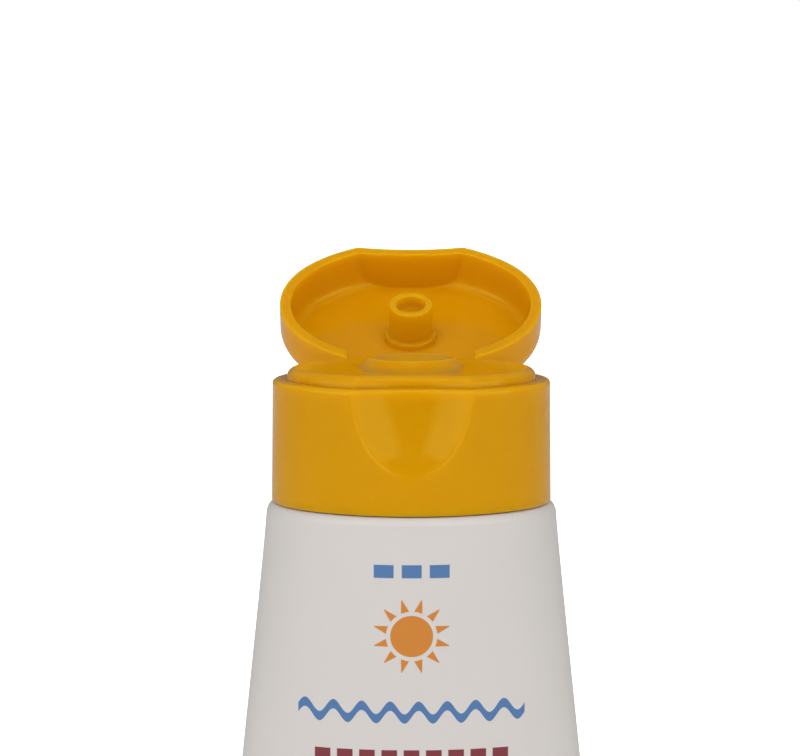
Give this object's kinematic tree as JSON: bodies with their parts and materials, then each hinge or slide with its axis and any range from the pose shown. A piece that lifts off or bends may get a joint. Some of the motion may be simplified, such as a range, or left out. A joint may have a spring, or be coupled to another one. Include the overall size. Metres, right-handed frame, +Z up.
{
  "type": "flip-top squeeze tube",
  "caption": "Soft oval squeeze tube with a crimped tail, a flip-top cap that clips over the neck, a living hinge, a hollow plug inside the lid and a thumb scoop.",
  "frame": {"origin": "middle of the tail end of the crimp", "axes": "+Z up the tube to the cap, +X along the crimp, -Y the front with the thumb scoop, +Y the back with the hinge"},
  "size_m": [0.0548, 0.0567, 0.1442],
  "materials": {
    "sleeve": "soft white laminate with a low satin sheen",
    "head": "natural white moulded plastic",
    "cream": "thick lotion",
    "cap": "glossy yellow-orange moulded plastic"
  },
  "bodies": {
    "tube": {"tube_sleeve": "sleeve", "tube_head": "head", "cream": "cream", "cap_base": "cap", "hinge_film": "cap"},
    "lid": {"cap_lid": "cap"}
  },
  "joints": [
    {"name": "lid_hinge", "type": "hinge", "parent": "tube", "child": "lid", "pos_m": [0, 0.0136, 0.1306], "axis": [-1, 0, 0], "range_deg": [-151.7, 3.3], "deforming": ["hinge_film"]}
  ]
}
